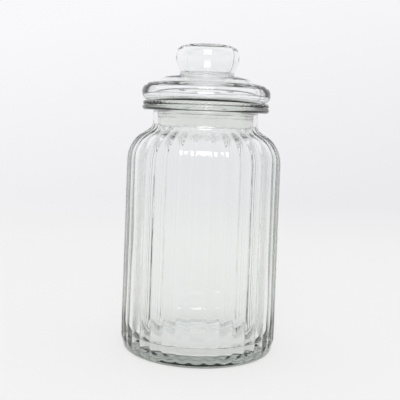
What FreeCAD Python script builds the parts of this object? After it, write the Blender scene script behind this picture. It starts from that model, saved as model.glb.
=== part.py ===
"""Apothecary jar: a ribbed glass jar, its glass stopper lid and the finned plastic seal between the two.

Millimetres, +Z up. The origin is on the jar's axis, at the level that it stands on. Every piece is round about that
axis, so each is drawn as an outline of radius and height and turned about Z. Only the ribbed wall is not a plain
turned face: its outline is pressed in between the ribs.
"""

import FreeCAD, Part
import math
import os

# Jar, outside
body_radius = 55.7  # to the crests of the ribs, at the heel
foot_radius = 54.0  # the smooth band under the ribs
foot_height = 3.4
foot_corner = 1.3
foot_draft = 0.2
standing_ring = 47.0  # inner radius of the flat ring that the jar stands on
push_up = 3.0  # how far the middle of the underside is raised
push_up_radius = 24.0  # the raised middle is flat up to here
heel_height = 8.8
heel_rounding = 14.0
draft = 0.7  # the wall leans in by this much from heel to shoulder
shoulder_slope = math.radians(32)  # above the horizontal
shoulder_radius = 23.0
shoulder_corner = 147.4  # where the wall's line and the shoulder's line cross
neck_radius = 37.4
neck_fillet = 5.5
lip_radius = 45.3
lip_under = 170.1
lip_roundings = (2.2, 1.6)  # under and on top
jar_height = 174.0

# Ribs
rib_count = 36
rib_depth = 0.8
rib_crest_share = 0.85  # of half a rib, from its crest: round. The rest is the fillet of the valley
rib_run_out_heel = 4.5  # over this length the valleys come up to the foot band
rib_run_out_neck = 5.0
points_per_rib = 12
sewing_gap = 0.01

# Jar, inside
inner_radius = 51.7  # at the floor
bore_radius = 35.0
bore_mouth = 1.6
wall_at_shoulder = 3.4
floor_edge = 5.8
floor_middle = 7.2
floor_corner = 14.0

# Seal: a sleeve round the lid's plug, with a flange on the jar's lip and three fins in its neck
flange_thickness = 2.7
flange_radius = 44.8
flange_rounding = 0.9
sleeve_wall = 1.0
sleeve_bottom = 159.2
running_gap = 0.1  # between the sleeve and the plug, which can turn in it
fin_count = 3
fin_pitch = 2.3
fin_start = 3.4  # from the lip's top down to the first fin
fin_thickness = 0.5
fin_rise = 0.4
fin_gap = 0.3  # between a fin's tip and the neck's bore

# Lid
lid_under = jar_height + flange_thickness
rim_radius = 45.8
rim_top = 188.6
tier_foot = (36.6, 190.1)
tier_top = (29.8, 193.8)
knob_neck = (18.4, 195.8)
knob_flank = (22.2, 203.0)
knob_radius = 22.7
knob_widest = 210.4
knob_shoulder = (20.6, 216.0)
knob_crown = 9.0  # the knob's top is flat up to here
knob_top = 218.0
plug_radius = 33.0
plug_inner_radius = 29.2
plug_bottom = 157.4
rim_hollow_radius = 43.0
rim_hollow_floor = 178.6
rim_hollow_top = 184.6
tier_foot_hollow = (36.0, 186.0)
tier_top_hollow = (28.8, 190.0)
knob_throat = (12.3, 192.8)
knob_hollow_radius = 18.6
knob_hollow_widest = 206.0
knob_hollow_shoulder = (17.3, 213.4)
knob_hollow_top = 214.0


def at(r, z):
    """The point of an outline at radius r and height z."""
    return FreeCAD.Vector(r, 0, z)


def outline(corners):
    """The edges through corners (radius, height, rounding): straight runs joined by tangent arcs."""
    edges = []
    start = at(*corners[0][:2])
    for before, corner, after in zip(corners, corners[1:], corners[2:]):
        here = at(*corner[:2])
        back = (at(*before[:2]) - here).normalize()
        on = (at(*after[:2]) - here).normalize()
        half = back.getAngle(on) / 2
        reach = corner[2] / math.tan(half)
        first, last = here + back * reach, here + on * reach
        bisector = (back + on).normalize()
        middle = here + bisector * (corner[2] / math.sin(half) - corner[2])
        if start.distanceToPoint(first) > 1e-6:
            edges.append(Part.makeLine(start, first))
        edges.append(Part.Arc(first, middle, last).toShape())
        start = last
    end = at(*corners[-1][:2])
    if start.distanceToPoint(end) > 1e-6:
        edges.append(Part.makeLine(start, end))
    return edges


def turned_faces(edges):
    """The faces that edges sweep in a full turn about Z."""
    return [edge.revolve(at(0, 0), FreeCAD.Vector(0, 0, 1), 360) for edge in edges]


def turned_solid(corners):
    """The solid of an outline, turned about Z. An outline that isn't closed has both its ends on the axis."""
    edges = outline(corners)
    first, last = at(*corners[0][:2]), at(*corners[-1][:2])
    if first.distanceToPoint(last) > 1e-6:
        edges.append(Part.makeLine(last, first))
    return Part.Face(Part.Wire(edges)).revolve(at(0, 0), FreeCAD.Vector(0, 0, 1), 360)


def rib_valley(across):
    """How deep the wall lies at a point of a rib, from 0 at its crest to 1 in the valley. across runs from -1 to 1."""
    away = abs(across)
    if away < rib_crest_share:
        return away**2 / rib_crest_share
    return 1 - (1 - away) ** 2 / (1 - rib_crest_share)


def ribbed_wall(edges):
    """One face round the jar, whose crests follow edges. Towards both ends the valleys run out to the crests' level."""
    stations = []
    travelled = 0.0
    length = sum(edge.Length for edge in edges)
    for edge in edges:
        steps = 8 if edge.Curve.TypeId == "Part::GeomLine" else max(8, round(edge.Length))
        first, last = edge.ParameterRange
        for step in range(steps):
            share = step / steps
            where = first + (last - first) * share
            done = travelled + edge.Length * share
            stations.append((edge.valueAt(where), edge.tangentAt(where), done))
        travelled += edge.Length
    stations.append((edges[-1].valueAt(last), edges[-1].tangentAt(last), length))

    around = rib_count * points_per_rib
    turn = 2 * math.pi / around
    spread = 1 / (1 - turn**2 / 6)  # a cubic runs this much inside its control points
    poles = []
    for i in range(around):
        across = (i % points_per_rib) * 2 / points_per_rib
        deep = rib_valley(across if across <= 1 else across - 2)
        row = []
        for point, along, done in stations:
            run_out = min(done / rib_run_out_heel, (length - done) / rib_run_out_neck, 1)
            press = rib_depth * min(deep, run_out)
            r = (point.x - press * along.z) * spread
            z = point.z + press * along.x
            row.append(FreeCAD.Vector(r * math.cos(i * turn), r * math.sin(i * turn), z))
        poles.append(row)
    poles = poles[-1:] + poles[:-1]  # the seam then lies at angle 0
    spans = len(stations) - 3
    surface = Part.BSplineSurface()
    surface.buildFromPolesMultsKnots(
        poles,
        [1] * (around + 1),
        [4] + [1] * (spans - 1) + [4],
        list(range(around + 1)),
        list(range(spans + 1)),
        True,
        False,
        3,
        3,
    )
    return surface.toShape()


def jar():
    """The jar: the ribbed wall, sewn to the turned faces of its foot, underside, inside, lip and neck."""
    wall_top_radius = body_radius - draft
    inner_top_radius = inner_radius - draft
    run = outline(
        [
            (foot_radius, foot_height),
            (body_radius, heel_height, heel_rounding),
            (wall_top_radius, shoulder_corner, shoulder_radius),
            (neck_radius, outer_shoulder(neck_radius), neck_fillet),
            (neck_radius, lip_under),
        ]
    )
    ribbed, neck = run[:-1], run[-1]
    mouth = outline(
        [
            (neck_radius, neck.Vertexes[0].Z),
            (neck_radius, lip_under, 1.2),
            (lip_radius, lip_under, lip_roundings[0]),
            (lip_radius, jar_height, lip_roundings[1]),
            (bore_radius, jar_height, bore_mouth),
            (bore_radius, inner_shoulder(bore_radius), 8.0),
            (inner_top_radius, inner_shoulder(inner_top_radius), 18.0),
            (inner_radius, floor_edge, floor_corner),
            (0, floor_middle),
        ]
    )
    foot = outline(
        [
            (0, push_up),
            (push_up_radius, push_up, 60.0),
            (standing_ring, 0, 1.5),
            (foot_radius - foot_draft, 0, foot_corner),
            (foot_radius, foot_height),
        ]
    )
    faces = [ribbed_wall(ribbed)] + turned_faces(foot + mouth)
    shell = Part.makeShell(faces)
    shell.sewShape(sewing_gap)
    return Part.makeSolid(shell)


def outer_shoulder(r):
    """The height at radius r of the shoulder's line."""
    return shoulder_corner + (body_radius - draft - r) * math.tan(shoulder_slope)


def inner_shoulder(r):
    """The height at radius r of the line under the shoulder, wall_at_shoulder inside the outer one."""
    return outer_shoulder(r) - wall_at_shoulder / math.cos(shoulder_slope)


def lid():
    """The lid, blown in one: knob, tiered top, round rim and the plug that goes into the neck, all hollow."""
    return turned_solid(
        [
            (0, knob_top),
            (knob_crown, knob_top, 30.0),
            (*knob_shoulder, 6.0),
            (knob_radius, knob_widest, 10.0),
            (*knob_flank, 12.0),
            (*knob_neck, 1.8),
            (*tier_top, 4.0),
            (*tier_foot, 4.0),
            (rim_radius, rim_top, 6.5),
            (rim_radius, lid_under, 6.0),
            (plug_radius, lid_under, 0.4),
            (plug_radius, plug_bottom, 1.8),
            (plug_inner_radius, plug_bottom, 1.8),
            (plug_inner_radius, rim_hollow_floor, 3.0),
            (rim_hollow_radius, rim_hollow_floor, 3.6),
            (rim_hollow_radius, rim_hollow_top, 1.8),
            (*tier_foot_hollow, 4.0),
            (*tier_top_hollow, 3.0),
            (*knob_throat, 4.0),
            (knob_hollow_radius, knob_hollow_widest, 10.0),
            (*knob_hollow_shoulder, 4.0),
            (0, knob_hollow_top),
        ]
    )


def seal():
    """The seal ring: the flange, the sleeve under it and the fins round the sleeve."""
    inside = plug_radius + running_gap
    outside = inside + sleeve_wall
    tip = bore_radius - fin_gap
    corners = [
        (inside, lid_under - 1.0),
        (inside + 1.0, lid_under, 0.2),
        (flange_radius, lid_under, flange_rounding),
        (flange_radius, jar_height, flange_rounding),
        (outside, jar_height, 0.3),
    ]
    for fin in range(fin_count):
        root = jar_height - fin_start - fin * fin_pitch
        corners += [
            (outside, root, 0.3),
            (tip, root + fin_rise, 0.2),
            (tip, root + fin_rise - fin_thickness, 0.2),
            (outside, root - fin_thickness - 0.3, 0.3),
        ]
    corners += [(outside, sleeve_bottom, 0.3), (inside, sleeve_bottom, 0.3), corners[0]]
    return turned_solid(corners)


os.makedirs("parts", exist_ok=True)
for name, shape in {"jar": jar(), "lid": lid(), "seal_ring": seal()}.items():
    assert shape.isValid() and shape.isClosed(), name
    print(name, shape.ShapeType, round(shape.Volume / 1000, 1), "cm3", len(shape.Faces), "faces")
    shape.exportStep(f"parts/{name}.step")
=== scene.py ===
"""Looks of the apothecary jar: the ribbed glass jar, its hollow glass stopper lid and the finned plastic seal.

The scene is in metres, +Z up, with the jar's axis on Z. Shapes are worked out in millimetres, as glassware is
drawn, and turned_piece scales them once. Every piece is an outline of radius and height that is carried round Z.
"""

import math

import bpy
import numpy as np
from mathutils import Matrix, Vector


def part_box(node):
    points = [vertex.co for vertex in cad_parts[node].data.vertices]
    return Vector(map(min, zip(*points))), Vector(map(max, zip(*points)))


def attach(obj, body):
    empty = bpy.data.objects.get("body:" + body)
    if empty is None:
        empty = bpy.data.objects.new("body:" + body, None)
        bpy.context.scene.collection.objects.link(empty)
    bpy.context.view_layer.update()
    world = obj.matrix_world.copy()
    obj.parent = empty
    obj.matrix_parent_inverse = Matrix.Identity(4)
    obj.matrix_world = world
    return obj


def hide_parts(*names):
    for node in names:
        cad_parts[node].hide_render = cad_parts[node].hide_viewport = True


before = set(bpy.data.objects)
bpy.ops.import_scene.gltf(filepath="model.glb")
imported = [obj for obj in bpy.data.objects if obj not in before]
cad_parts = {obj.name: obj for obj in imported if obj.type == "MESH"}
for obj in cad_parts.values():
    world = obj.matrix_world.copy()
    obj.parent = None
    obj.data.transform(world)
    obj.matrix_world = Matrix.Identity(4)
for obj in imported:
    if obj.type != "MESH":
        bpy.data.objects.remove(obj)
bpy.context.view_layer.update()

MM = 0.001

# Jar, outside
body_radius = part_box("jar")[1].x / MM  # to the crests of the ribs
foot_radius = 54.0
foot_height = 3.4
foot_corner = 2.6
foot_draft = 0.2
standing_ring = 47.0  # inner radius of the flat ring that the jar stands on
push_up = 3.0  # how far the middle of the underside is raised
push_up_radius = 24.0
heel_height = 8.8
heel_rounding = 14.0
draft = 0.7  # the wall leans in by this much from heel to shoulder
shoulder_slope = math.radians(32)
shoulder_radius = 23.0
shoulder_corner = 147.4
neck_radius = 37.4
neck_fillet = 5.5
lip_radius = 45.3
lip_under = 170.1
lip_roundings = (2.2, 1.6)  # under and on top
jar_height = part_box("jar")[1].z / MM

# Ribs
rib_count = 36
rib_depth = 0.8
rib_crest_share = 0.85  # of half a rib, from its crest: round. The rest is the fillet of the valley
rib_run_out_heel = 4.5  # over this length the valleys come up to the foot band
rib_run_out_neck = 9.0

# Jar, inside
inner_radius = 51.7  # at the floor
bore_radius = 35.0
bore_mouth = 1.6
wall_at_shoulder = 3.4
floor_edge = 5.8
floor_middle = 7.2
floor_corner = 14.0
waviness = 0.1

# Seal
flange_thickness = 2.7
flange_radius = 44.8
flange_rounding = 0.9
flange_teeth = 72
tooth_depth = 0.7
tooth_reach = (1.2, 0.9)  # how far the teeth fade out, inwards and upwards
sleeve_wall = 1.0
sleeve_bottom = 159.2
running_gap = 0.1  # between the sleeve and the plug
fin_count = 3
fin_pitch = 2.3
fin_start = 3.4  # from the lip's top down to the first fin
fin_thickness = 0.5
fin_rise = 0.4
fin_gap = 0.3  # between a fin's tip and the neck's bore

# Lid
lid_under = jar_height + flange_thickness
rim_radius = 45.8
rim_top = 188.6
tier_foot = (36.6, 190.1)
tier_top = (29.8, 193.8)
knob_neck = (18.4, 195.8)
knob_flank = (22.2, 203.0)
knob_widest = (22.7, 210.4)
knob_shoulder = (20.6, 216.0)
knob_crown = 9.0  # the knob's top is flat up to here
knob_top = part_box("lid")[1].z / MM
plug_radius = 33.0
plug_inner_radius = 29.2
plug_bottom = 157.4
plug_rounding = 1.8
rim_hollow_radius = 43.0
rim_hollow_floor = 178.6
rim_hollow_top = 185.9
tier_foot_hollow = (36.0, 186.0)
tier_top_hollow = (28.8, 190.0)
knob_throat = (12.3, 192.8)
knob_hollow_widest = (18.6, 206.0)
knob_hollow_shoulder = (17.3, 213.4)
knob_hollow_top = 214.0
seam_angles = (math.radians(-36), math.radians(144))  # the lid's mould seams, from +X
seam_height = 0.12
seam_width = 0.5


# ---- shapes ----


def rounded_outline(corners, spacing=4.0, arc_step=7.0):
    """An outline as rows of (radius, height, distance along it). A corner is (radius, height) or has a third number,
    its rounding: the straight runs then end at rounding / tan(half the corner's angle) from it, and an arc of that
    radius joins them. Runs are cut at most spacing apart, and arcs every arc_step degrees."""
    points = [np.array([corners[0][:2]], float)]
    for before, corner, after in zip(corners, corners[1:], corners[2:]):
        here = np.array(corner[:2], float)
        back, on = before[:2] - here, after[:2] - here
        back, on = back / np.linalg.norm(back), on / np.linalg.norm(on)
        half = math.acos(back @ on) / 2
        centre = here + (back + on) / np.linalg.norm(back + on) * corner[2] / math.sin(half)
        spoke = here + back * corner[2] / math.tan(half) - centre
        square = np.array([-spoke[1], spoke[0]])
        square = square * np.sign(square @ -back)
        turn = math.pi - 2 * half
        turned = np.linspace(0, turn, 2 + int(turn / math.radians(arc_step)))[:, None]
        points.append(centre + np.cos(turned) * spoke + np.sin(turned) * square)
    points.append(np.array([corners[-1][:2]], float))
    knots = np.concatenate(points)
    steps = np.append(1.0, np.linalg.norm(np.diff(knots, axis=0), axis=1))
    knots, steps = knots[steps > 1e-6], steps[steps > 1e-6][1:]
    along = np.append(0, np.cumsum(steps))
    cuts = np.ceil(steps / spacing).astype(int)
    painted_falloff = np.arange(cuts.sum()) - np.repeat(np.cumsum(cuts) - cuts, cuts)
    fine = np.append(np.repeat(along[:-1], cuts) + painted_falloff * np.repeat(steps / cuts, cuts), along[-1])
    return np.stack([np.interp(fine, along, knots[:, 0]), np.interp(fine, along, knots[:, 1]), fine], 1)


def turned_piece(name, outline, angles, pressed):
    """A closed mesh: the point at row i and column j is outline point i, moved by pressed[i, j] against the outline's
    outward normal, at angles[j] round Z. The outward normal is on the right of the outline's way. A row on the axis
    is one vertex, and an outline that isn't on the axis closes on itself."""
    run = np.gradient(outline[:, :2], axis=0)
    run /= np.linalg.norm(run, axis=1)[:, None]
    radius = outline[:, :1] - pressed * run[:, 1:] + 0 * angles
    height = outline[:, 1:2] + pressed * run[:, :1] + 0 * angles
    grid = np.stack([radius * np.cos(angles), radius * np.sin(angles), height], 2)
    index = np.arange(radius.size).reshape(radius.shape)
    if outline[0, 0] < 1e-6:
        index[0], index[-1] = index[0, 0], index[-1, 0]
    else:
        index[-1] = index[0]
    lower, upper = index[:-1], index[1:]
    quads = np.stack([lower, np.roll(lower, -1, 1), np.roll(upper, -1, 1), upper], 2)
    return mesh_piece(name, grid.reshape(-1, 3) * MM, quads.reshape(-1, 4))


def mesh_piece(name, points, quads):
    """An object from an array of points and one of quads. A quad that names one point twice is a triangle."""
    used, quads = np.unique(quads, return_inverse=True)
    quads = quads.reshape(-1, 4)
    keep = quads != np.roll(quads, 1, 1)
    sizes = keep.sum(1)
    mesh = bpy.data.meshes.new(name)
    mesh.vertices.add(len(used))
    mesh.vertices.foreach_set("co", points[used].astype(np.float32).ravel())
    mesh.loops.add(int(sizes.sum()))
    mesh.loops.foreach_set("vertex_index", quads[keep].astype(np.int32))
    mesh.polygons.add(len(sizes))
    mesh.polygons.foreach_set("loop_start", (np.cumsum(sizes) - sizes).astype(np.int32))
    mesh.update(calc_edges=True)
    mesh.shade_smooth()
    piece = bpy.data.objects.new(name, mesh)
    bpy.context.scene.collection.objects.link(piece)
    return piece


def rib_angles(per_rib=12, crowding=0.6):
    """Angles round the jar, equal shares of each rib from valley to valley, pushed by a sine towards the valleys."""
    painted_falloff = np.arange(rib_count * per_rib) / per_rib
    across = 2 * (painted_falloff % 1) - 1
    across = across + crowding * np.sin(math.pi * across) / math.pi
    return (np.floor(painted_falloff) + across / 2) * 2 * math.pi / rib_count


def rib_valley(angles):
    """How deep the wall lies at an angle: 0 on a rib's crest, 1 in the valley. It falls as a parabola over the crest's
    share, and a second parabola rounds the valley."""
    away = np.abs((angles * rib_count / (2 * math.pi) + 0.5) % 1 * 2 - 1)
    crest = away**2 / rib_crest_share
    valley = 1 - (1 - away) ** 2 / (1 - rib_crest_share)
    return np.where(away < rib_crest_share, crest, valley)


def inner_shoulder(r):
    """The height at radius r of the line under the shoulder, wall_at_shoulder inside the outer one."""
    drop = wall_at_shoulder / math.cos(shoulder_slope)
    return shoulder_corner - drop + (body_radius - draft - r) * math.tan(shoulder_slope)


def make_jar():
    """The jar, from the middle of its underside up the ribbed wall, over the lip and down inside to the middle of its
    floor. The ribs' valleys are pressed into the wall, and run out in a straight slope at both ends, so that each rib
    ends in a round. The inside is a little wavy: a sum of three slow sines of angle and height."""
    neck_start = shoulder_corner + (body_radius - draft - neck_radius) * math.tan(shoulder_slope)
    ribs_top = (neck_radius, neck_start + neck_fillet * math.tan(math.pi / 4 - shoulder_slope / 2) + 0.01)
    inner_top = inner_radius - draft
    foot = rounded_outline(
        [
            (0, push_up),
            (push_up_radius, push_up, 60.0),
            (standing_ring, 0, 1.5),
            (foot_radius - foot_draft, 0, foot_corner),
            (foot_radius, foot_height),
        ]
    )
    ribbed = rounded_outline(
        [
            (foot_radius, foot_height),
            (body_radius, heel_height, heel_rounding),
            (body_radius - draft, shoulder_corner, shoulder_radius),
            (neck_radius, neck_start, neck_fillet),
            ribs_top,
        ]
    )
    mouth = rounded_outline(
        [
            ribs_top,
            (neck_radius, lip_under, 1.2),
            (lip_radius, lip_under, lip_roundings[0]),
            (lip_radius, jar_height, lip_roundings[1]),
            (bore_radius, jar_height, bore_mouth),
            (bore_radius, inner_shoulder(bore_radius), 8.0),
            (inner_top, inner_shoulder(inner_top), 18.0),
            (inner_radius, floor_edge, floor_corner),
            (0, floor_middle),
        ]
    )
    angles = rib_angles()
    from_heel = ribbed[:, 2] / rib_run_out_heel
    from_neck = (ribbed[-1, 2] - ribbed[:, 2]) / rib_run_out_neck
    run_out = np.clip(np.minimum(from_heel, from_neck), 0, 1)[:, None]
    ribs = rib_depth * np.minimum(rib_valley(angles), run_out)
    z = mouth[:, 1:2]
    slow, middling = np.sin(2 * angles + z / 21), np.sin(5 * angles - z / 13)
    waves = waviness * (slow + 0.6 * middling + 0.3 * np.sin(9 * angles + z / 8))
    fade = np.where(z < inner_shoulder(inner_radius), (mouth[:, :1] / inner_radius) ** 4, 0)
    depth = np.concatenate([np.zeros((len(foot) - 1, len(angles))), ribs[:-1], fade * waves])
    return turned_piece("ribbed_jar", np.concatenate([foot[:-1], ribbed[:-1], mouth]), angles, depth)


def make_lid():
    """The lid, from the roof of the knob's hollow down inside, round the plug and up the outside to the top of the
    knob. Each of the two mould seams is a fine raised line on the outside: a bell curve across the seam, which fades
    out on the knob's crown."""
    plug_top = (plug_radius + 1.0, lid_under)
    inside = rounded_outline(
        [
            (0, knob_hollow_top),
            (*knob_hollow_shoulder, 4.0),
            (*knob_hollow_widest, 10.0),
            (*knob_throat, 4.0),
            (*tier_top_hollow, 3.0),
            (*tier_foot_hollow, 4.0),
            (rim_hollow_radius, rim_hollow_top, 4.4),
            (rim_hollow_radius, rim_hollow_floor, 3.6),
            (plug_inner_radius, rim_hollow_floor, 3.0),
            (plug_inner_radius, plug_bottom, plug_rounding),
            (plug_radius, plug_bottom, plug_rounding),
            (plug_radius, lid_under, 0.4),
            plug_top,
        ]
    )
    outside = rounded_outline(
        [
            plug_top,
            (rim_radius, lid_under, 6.0),
            (rim_radius, rim_top, 6.5),
            (*tier_foot, 4.0),
            (*tier_top, 4.0),
            (*knob_neck, 1.8),
            (*knob_flank, 12.0),
            (*knob_widest, 10.0),
            (*knob_shoulder, 6.0),
            (knob_crown, knob_top, 30.0),
            (0, knob_top),
        ]
    )
    seam = np.array(seam_angles)[:, None]
    beside = seam + np.linspace(-1, 1, 9) * seam_width / rim_radius
    angles = np.sort(np.append(np.linspace(0, 2 * math.pi, 240, endpoint=False), beside % (2 * math.pi)))
    away = ((angles - seam + math.pi) % (2 * math.pi) - math.pi) * rim_radius / seam_width
    ridge = seam_height * np.exp(-(2 * away) ** 2).sum(0)
    fade = np.clip(outside[:, :1] / 5 - 2.4, 0, 1)
    depth = np.concatenate([np.zeros((len(inside) - 1, len(angles))), -ridge * fade])
    return turned_piece("stopper_lid", np.concatenate([inside[:-1], outside]), angles, depth)


def make_seal():
    """The seal: the sleeve from its lower edge up past the fins, the flange's underside and top, and the bore. Fine
    teeth are pressed into the flange's lower edge: a cosine of the angle, faded out by a bell curve round the edge."""
    bore = plug_radius + running_gap
    sleeve = bore + sleeve_wall
    tip = bore_radius - fin_gap
    corners = [(bore, sleeve_bottom + 4), (bore, sleeve_bottom, 0.3), (sleeve, sleeve_bottom, 0.3)]
    for fin in reversed(range(fin_count)):
        root = jar_height - fin_start - fin * fin_pitch
        corners += [
            (sleeve, root - fin_thickness - 0.3, 0.3),
            (tip, root + fin_rise - fin_thickness, 0.2),
            (tip, root + fin_rise, 0.2),
            (sleeve, root, 0.2),
        ]
    corners += [
        (sleeve, jar_height, 0.3),
        (flange_radius, jar_height, flange_rounding),
        (flange_radius, lid_under, flange_rounding),
        (bore + 1.0, lid_under, 0.2),
        (bore, lid_under - 1.0, 0.2),
        corners[0],
    ]
    outline = rounded_outline(corners, 3.0, 15.0)
    angles = np.linspace(0, 2 * math.pi, flange_teeth * 8, endpoint=False)
    inwards = (outline[:, :1] - flange_radius) / tooth_reach[0]
    upwards = (outline[:, 1:2] - jar_height) / tooth_reach[1]
    teeth = 0.5 - 0.5 * np.cos(angles * flange_teeth)
    depth = tooth_depth * np.exp(-(inwards**2) - upwards**2) * teeth
    return turned_piece("finned_seal", outline, angles, depth)


# ---- materials ----


class Link:
    """The output of a node. Plus, minus and times on it add the Math node that they stand for."""

    def __init__(self, material, output):
        self.material = material
        self.output = output

    def maths(self, operation, first, second):
        return self.material.add("ShaderNodeMath", {"operation": operation}, {0: first, 1: second})

    def __add__(self, other):
        return self.maths("ADD", self, other)

    def __sub__(self, other):
        return self.maths("SUBTRACT", self, other)

    def __mul__(self, other):
        return self.maths("MULTIPLY", self, other)

    __radd__ = __add__
    __rmul__ = __mul__


class Finish:
    """A new material whose nodes are added one by one. place is the Object coordinates."""

    def __init__(self, name):
        self.material = bpy.data.materials.new(name)
        self.material.use_nodes = True
        self.material.node_tree.nodes.clear()
        self.place = self.add("ShaderNodeTexCoord", output="Object")

    def add(self, kind, settings=None, inputs=None, output=0):
        """Adds a node: settings are its own properties, and inputs the values or links of its sockets."""
        node = self.material.node_tree.nodes.new(kind)
        for name, value in (settings or {}).items():
            setattr(node, name, value)
        for name, value in (inputs or {}).items():
            if isinstance(value, Link):
                self.material.node_tree.links.new(value.output, node.inputs[name])
            else:
                node.inputs[name].default_value = value
        return Link(self, node.outputs[output]) if len(node.outputs) else None

    def noise(self, size, detail=2.0, stretch=(1, 1, 1)):
        """Noise from 0 to 1 whose blobs are about size metres across, longer along an axis with a small stretch."""
        place = self.add("ShaderNodeMapping", None, {"Vector": self.place, "Scale": stretch})
        return self.add("ShaderNodeTexNoise", None, {"Vector": place, "Scale": 1 / size, "Detail": detail})

    def finish(self, surface, volume=None):
        self.add("ShaderNodeOutputMaterial", None, {"Surface": surface} | ({"Volume": volume} if volume else {}))
        return self.material


def moulded_glass(name, tint, per_metre):
    """Clear moulded glass: fire-polished, with the faint orange peel of the mould and a trace of haze from handling.
    Its thickness tints it."""
    glass = Finish(name)
    peel = glass.noise(0.006, 2.0, (1, 1, 0.5)) + 0.15 * glass.noise(0.0012, 1.0)
    normal = glass.add("ShaderNodeBump", None, {"Strength": 0.12, "Distance": 0.00012, "Height": peel})
    haze = 0.004 + 0.03 * glass.noise(0.02, 4.0)
    surface = glass.add(
        "ShaderNodeBsdfPrincipled",
        None,
        {"Base Color": (0.985, 0.995, 0.99, 1), "Roughness": haze, "IOR": 1.5, "Transmission Weight": 1.0,
         "Normal": normal},
    )
    volume = glass.add("ShaderNodeVolumeAbsorption", None, {"Color": tint, "Density": per_metre})
    return glass.finish(surface, volume)


def soft_plastic(name):
    """The seal's soft plastic: clear with a trace of cloud, and the fine turning marks of its mould."""
    plastic = Finish(name)
    marks = plastic.noise(0.002, 3.0, (0.3, 0.3, 3)) + 0.5 * plastic.noise(0.0006, 1.0)
    normal = plastic.add("ShaderNodeBump", None, {"Strength": 0.2, "Distance": 0.0001, "Height": marks})
    clear = plastic.add(
        "ShaderNodeBsdfPrincipled",
        None,
        {"Base Color": (0.998, 0.996, 0.98, 1), "Roughness": 0.07 + 0.05 * plastic.noise(0.004), "IOR": 1.2,
         "Transmission Weight": 1.0, "Normal": normal},
    )
    through = plastic.add("ShaderNodeBsdfTranslucent", None, {"Color": (0.99, 0.985, 0.95, 1), "Normal": normal})
    back = plastic.add("ShaderNodeBsdfDiffuse", None, {"Color": (0.99, 0.985, 0.95, 1), "Normal": normal})
    cloudy = plastic.add("ShaderNodeMixShader", None, {0: 0.6, 1: through, 2: back})
    surface = plastic.add("ShaderNodeMixShader", None, {0: 0.01 + 0.04 * plastic.noise(0.008), 1: clear, 2: cloudy})
    return plastic.finish(surface)


# ---- the stage ----


def make_stage():
    """A table that curves up into a wall close behind the jar: warm white on the table and cooler on the wall. The
    table glows evenly, and the wall glows with painted light that grows brighter towards its top and its left.
    """
    table_end, bend, top, half_width = 420.0, 130.0, 2200.0, 2600.0
    turned = np.linspace(0, math.pi / 2, 17)
    y = np.concatenate([[-1500], table_end + bend * np.sin(turned), [table_end + bend]])
    z = np.concatenate([[0], bend * (1 - np.cos(turned)), [top]]) - 0.2
    sides = np.array([-half_width, half_width])[:, None] + 0 * y
    points = np.stack([sides, 0 * sides + y, 0 * sides + z], 2)
    index = np.arange(2 * len(y)).reshape(2, -1)
    quads = np.stack([index[0, :-1], index[1, :-1], index[1, 1:], index[0, 1:]], 1)
    stage = mesh_piece("table_and_wall", points.reshape(-1, 3) * MM, quads)
    paint = Finish("studio_white")
    aside = paint.add("ShaderNodeSeparateXYZ", None, {0: paint.place}, "X")
    height = paint.add("ShaderNodeSeparateXYZ", None, {0: paint.place}, "Z")
    matt = paint.add("ShaderNodeBsdfDiffuse", None, {"Color": (0.28, 0.28, 0.28, 1)})
    glow = paint.add("ShaderNodeEmission", None, {"Color": (0.63, 0.625, 0.62, 1)})
    table = paint.add("ShaderNodeAddShader", None, {0: matt, 1: glow})
    # Painted light: the wall's glow is made brighter up its height and towards the left, as light falling on it would.
    painted_falloff_range = {"Value": height - 0.25 * aside, "From Min": 0.0, "From Max": 0.35}
    painted_falloff = paint.add("ShaderNodeMapRange", None, painted_falloff_range)
    painted_light_ramp = {"data_type": "RGBA"}, {"Factor": painted_falloff, "A": (0.83, 0.82, 0.845, 1), "B": (0.945, 0.935, 0.96, 1)}
    wall_painted_light = paint.add("ShaderNodeEmission", None, {"Color": paint.add("ShaderNodeMix", *painted_light_ramp, output=2)})
    change = paint.add("ShaderNodeMapRange", None, {"Value": height, "From Min": 0.0, "From Max": 0.05})
    surface = paint.add("ShaderNodeMixShader", None, {0: change, 1: table, 2: wall_painted_light})
    stage.data.materials.append(paint.finish(surface))


def softbox(name, aim, direction, distance, size, radiance):
    """A rectangular light of size (width, height) that faces aim from distance along direction (azimuth from the
    front to the right, elevation), both in degrees."""
    azimuth, elevation = math.radians(direction[0]), math.radians(direction[1])
    away = Vector((math.sin(azimuth) * math.cos(elevation), -math.cos(azimuth) * math.cos(elevation),
                   math.sin(elevation)))
    light = bpy.data.lights.new(name, "AREA")
    light.shape = "RECTANGLE"
    light.size, light.size_y = size
    light.energy = radiance * math.pi * size[0] * size[1]
    lamp = bpy.data.objects.new(name, light)
    lamp.location = Vector(aim) + away * distance
    lamp.rotation_euler = away.to_track_quat("Z", "Y").to_euler()
    bpy.context.scene.collection.objects.link(lamp)


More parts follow.
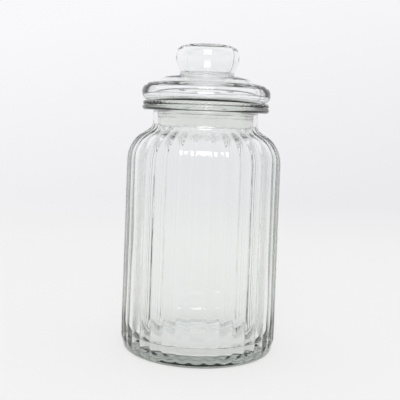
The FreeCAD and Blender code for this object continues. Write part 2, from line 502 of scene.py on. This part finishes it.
def light_stage():
    """A wide window-like softbox in front and above, and a bright even room that is dimmer behind the viewer."""
    softbox("front_window", (0, 0, 0.13), (-1, 36), 1.3, (0.6, 0.34), 7.0)
    world = bpy.data.worlds.new("room")
    bpy.context.scene.world = world
    world.use_nodes = True
    nodes, links = world.node_tree.nodes, world.node_tree.links
    direction = nodes.new("ShaderNodeTexCoord")
    parts = nodes.new("ShaderNodeSeparateXYZ")
    links.new(direction.outputs["Generated"], parts.inputs[0])
    dim = nodes.new("ShaderNodeMapRange")
    dim.interpolation_type = "SMOOTHSTEP"
    dim.inputs["From Min"].default_value = -1.0
    dim.inputs["From Max"].default_value = 0.2
    dim.inputs["To Min"].default_value = 0.74
    dim.inputs["To Max"].default_value = 0.9
    links.new(parts.outputs["Y"], dim.inputs["Value"])
    links.new(dim.outputs[0], nodes["Background"].inputs["Strength"])
    nodes["Background"].inputs["Color"].default_value = (0.97, 0.98, 1.0, 1)


def aim_camera():
    """Half a metre in front, a little above the shoulder, looking slightly down, and rolled by a couple of degrees."""
    data = bpy.data.cameras.new("camera")
    data.lens = 65.07
    data.shift_y = -0.06
    camera = bpy.data.objects.new("camera", data)
    pitch, yaw, roll = math.radians(4.43), math.radians(0.26), math.radians(2.13)
    aim = Matrix.Rotation(yaw, 4, "Z") @ Matrix.Rotation(math.pi / 2 - pitch, 4, "X") @ Matrix.Rotation(roll, 4, "Z")
    camera.matrix_world = Matrix.Translation((0, -0.5194, 0.16415)) @ aim
    bpy.context.scene.collection.objects.link(camera)
    bpy.context.scene.camera = camera


def set_light_paths():
    """Enough bounces for glass behind glass, and tones shown as they are."""
    scene = bpy.context.scene
    scene.cycles.max_bounces = 32
    scene.cycles.transmission_bounces = 32
    scene.cycles.glossy_bounces = 8
    scene.cycles.transparent_max_bounces = 16
    scene.view_settings.view_transform = "Standard"


jar_glass = moulded_glass("jar_glass", (0.26, 0.33, 0.25, 1), 11.0)
lid_glass = moulded_glass("lid_glass", (0.26, 0.33, 0.27, 1), 4.0)

for piece, node, body, record_slot, material in (
    (make_jar(), "jar", "jar", "jar_glass", jar_glass),
    (make_lid(), "lid", "lid", "lid_glass", lid_glass),
    (make_seal(), "seal_ring", "seal", "seal_plastic", soft_plastic("seal_plastic")),
):
    piece.data.materials.append(material)
    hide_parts(node)
    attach(piece, body)

make_stage()
light_stage()
aim_camera()
set_light_paths()
